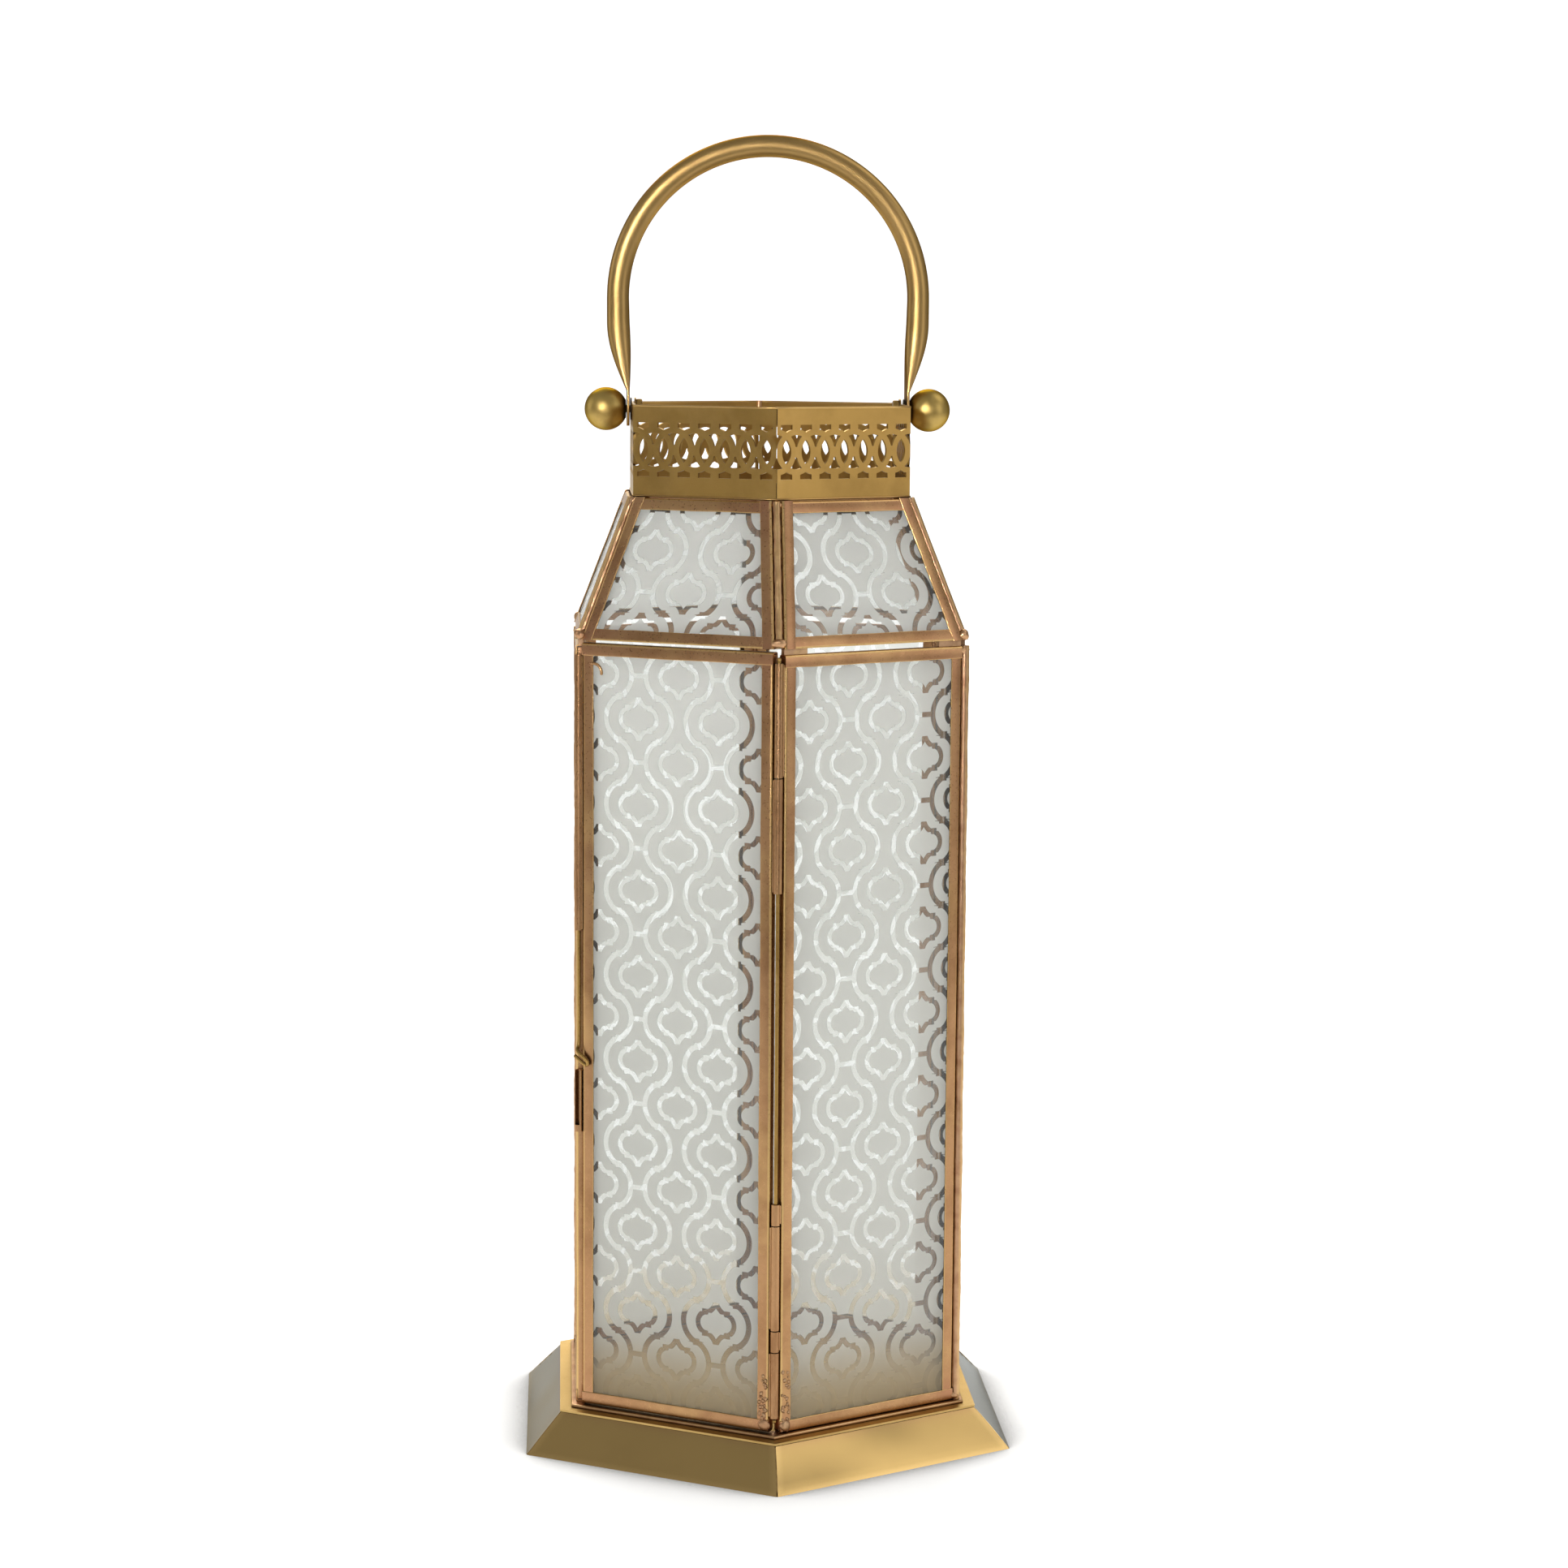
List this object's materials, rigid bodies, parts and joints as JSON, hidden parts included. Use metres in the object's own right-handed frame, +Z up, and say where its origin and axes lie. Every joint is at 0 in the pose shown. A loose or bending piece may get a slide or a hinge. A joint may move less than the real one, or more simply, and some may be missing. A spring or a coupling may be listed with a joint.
{
  "type": "hexagonal glazed candle lantern",
  "caption": "Hexagonal brass-framed lantern with frosted trellis glass sides and roof, a hinged door with a wire latch, a pierced collar and a swinging bail handle.",
  "frame": {"origin": "middle of the base on the table plane", "axes": "+Z up, -Y towards the front corner, handle pivots along X"},
  "size_m": [0.1832, 0.2108, 0.4927],
  "materials": {
    "aged_brass_channel": "heat-tinted folded channel, satin",
    "polished_brass_sheet": "satin polished sheet",
    "floor_brass": "dull sheet",
    "soldered_brass_bead": "soldered, slightly rough",
    "pierced_brass": "antiqued pierced sheet, satin",
    "brass_tube": "drawn tube, satin",
    "brass_wire": "drawn wire",
    "dark_washer": "darkened",
    "handle_brass": "antiqued tube, satin",
    "turned_brass": "turned, satin",
    "patterned_glass": "frosted with a clear trellis pattern"
  },
  "bodies": {
    "lantern": {"base_skirt": "polished_brass_sheet", "floor_plate": "floor_brass", "foot_ring": "soldered_brass_bead", "frame_front_right": "aged_brass_channel", "frame_right": "aged_brass_channel", "frame_back_right": "aged_brass_channel", "frame_back_left": "aged_brass_channel", "frame_left": "aged_brass_channel", "glass_front_right": "patterned_glass", "glass_right": "patterned_glass", "glass_back_right": "patterned_glass", "glass_back_left": "patterned_glass", "glass_left": "patterned_glass", "corner_beads": "soldered_brass_bead", "hinge_tubes_fixed": "brass_tube", "hinge_pin_upper": "brass_wire", "hinge_pin_lower": "brass_wire", "latch_keeper": "brass_tube", "roof_spacers": "soldered_brass_bead", "roof_frame_front_right": "aged_brass_channel", "roof_frame_right": "aged_brass_channel", "roof_frame_back_right": "aged_brass_channel", "roof_frame_back_left": "aged_brass_channel", "roof_frame_left": "aged_brass_channel", "roof_frame_front_left": "aged_brass_channel", "roof_glass_front_right": "patterned_glass", "roof_glass_right": "patterned_glass", "roof_glass_back_right": "patterned_glass", "roof_glass_back_left": "patterned_glass", "roof_glass_left": "patterned_glass", "roof_glass_front_left": "patterned_glass", "ridge_beads": "soldered_brass_bead", "collar_left": "pierced_brass", "collar_right": "pierced_brass", "collar_seams": "soldered_brass_bead", "pivot_screws": "brass_wire", "outer_washers": "dark_washer", "inner_washers": "brass_wire", "pivot_nuts": "brass_wire", "ball_knob_left": "turned_brass", "ball_knob_right": "turned_brass"},
    "door": {"door_frame": "aged_brass_channel", "door_glass": "patterned_glass", "hinge_tubes_door": "brass_tube", "latch_guide_tube": "brass_tube"},
    "bolt": {"latch_bolt": "brass_wire"},
    "handle": {"handle_bail": "handle_brass"}
  },
  "joints": [
    {"name": "door_hinge", "type": "hinge", "parent": "lantern", "child": "door", "pos_m": [0, -0.0826, 0.16], "axis": [0, 0, 1], "range_deg": [0, 160]},
    {"name": "bolt_slide", "type": "slide", "parent": "door", "child": "bolt", "axis": [0, 0, 1], "range_m": [-0.02, 0.04]},
    {"name": "handle_swing", "type": "hinge", "parent": "lantern", "child": "handle", "pos_m": [0, 0, 0.3903], "axis": [1, 0, 0], "range_deg": [-115, 115]}
  ]
}
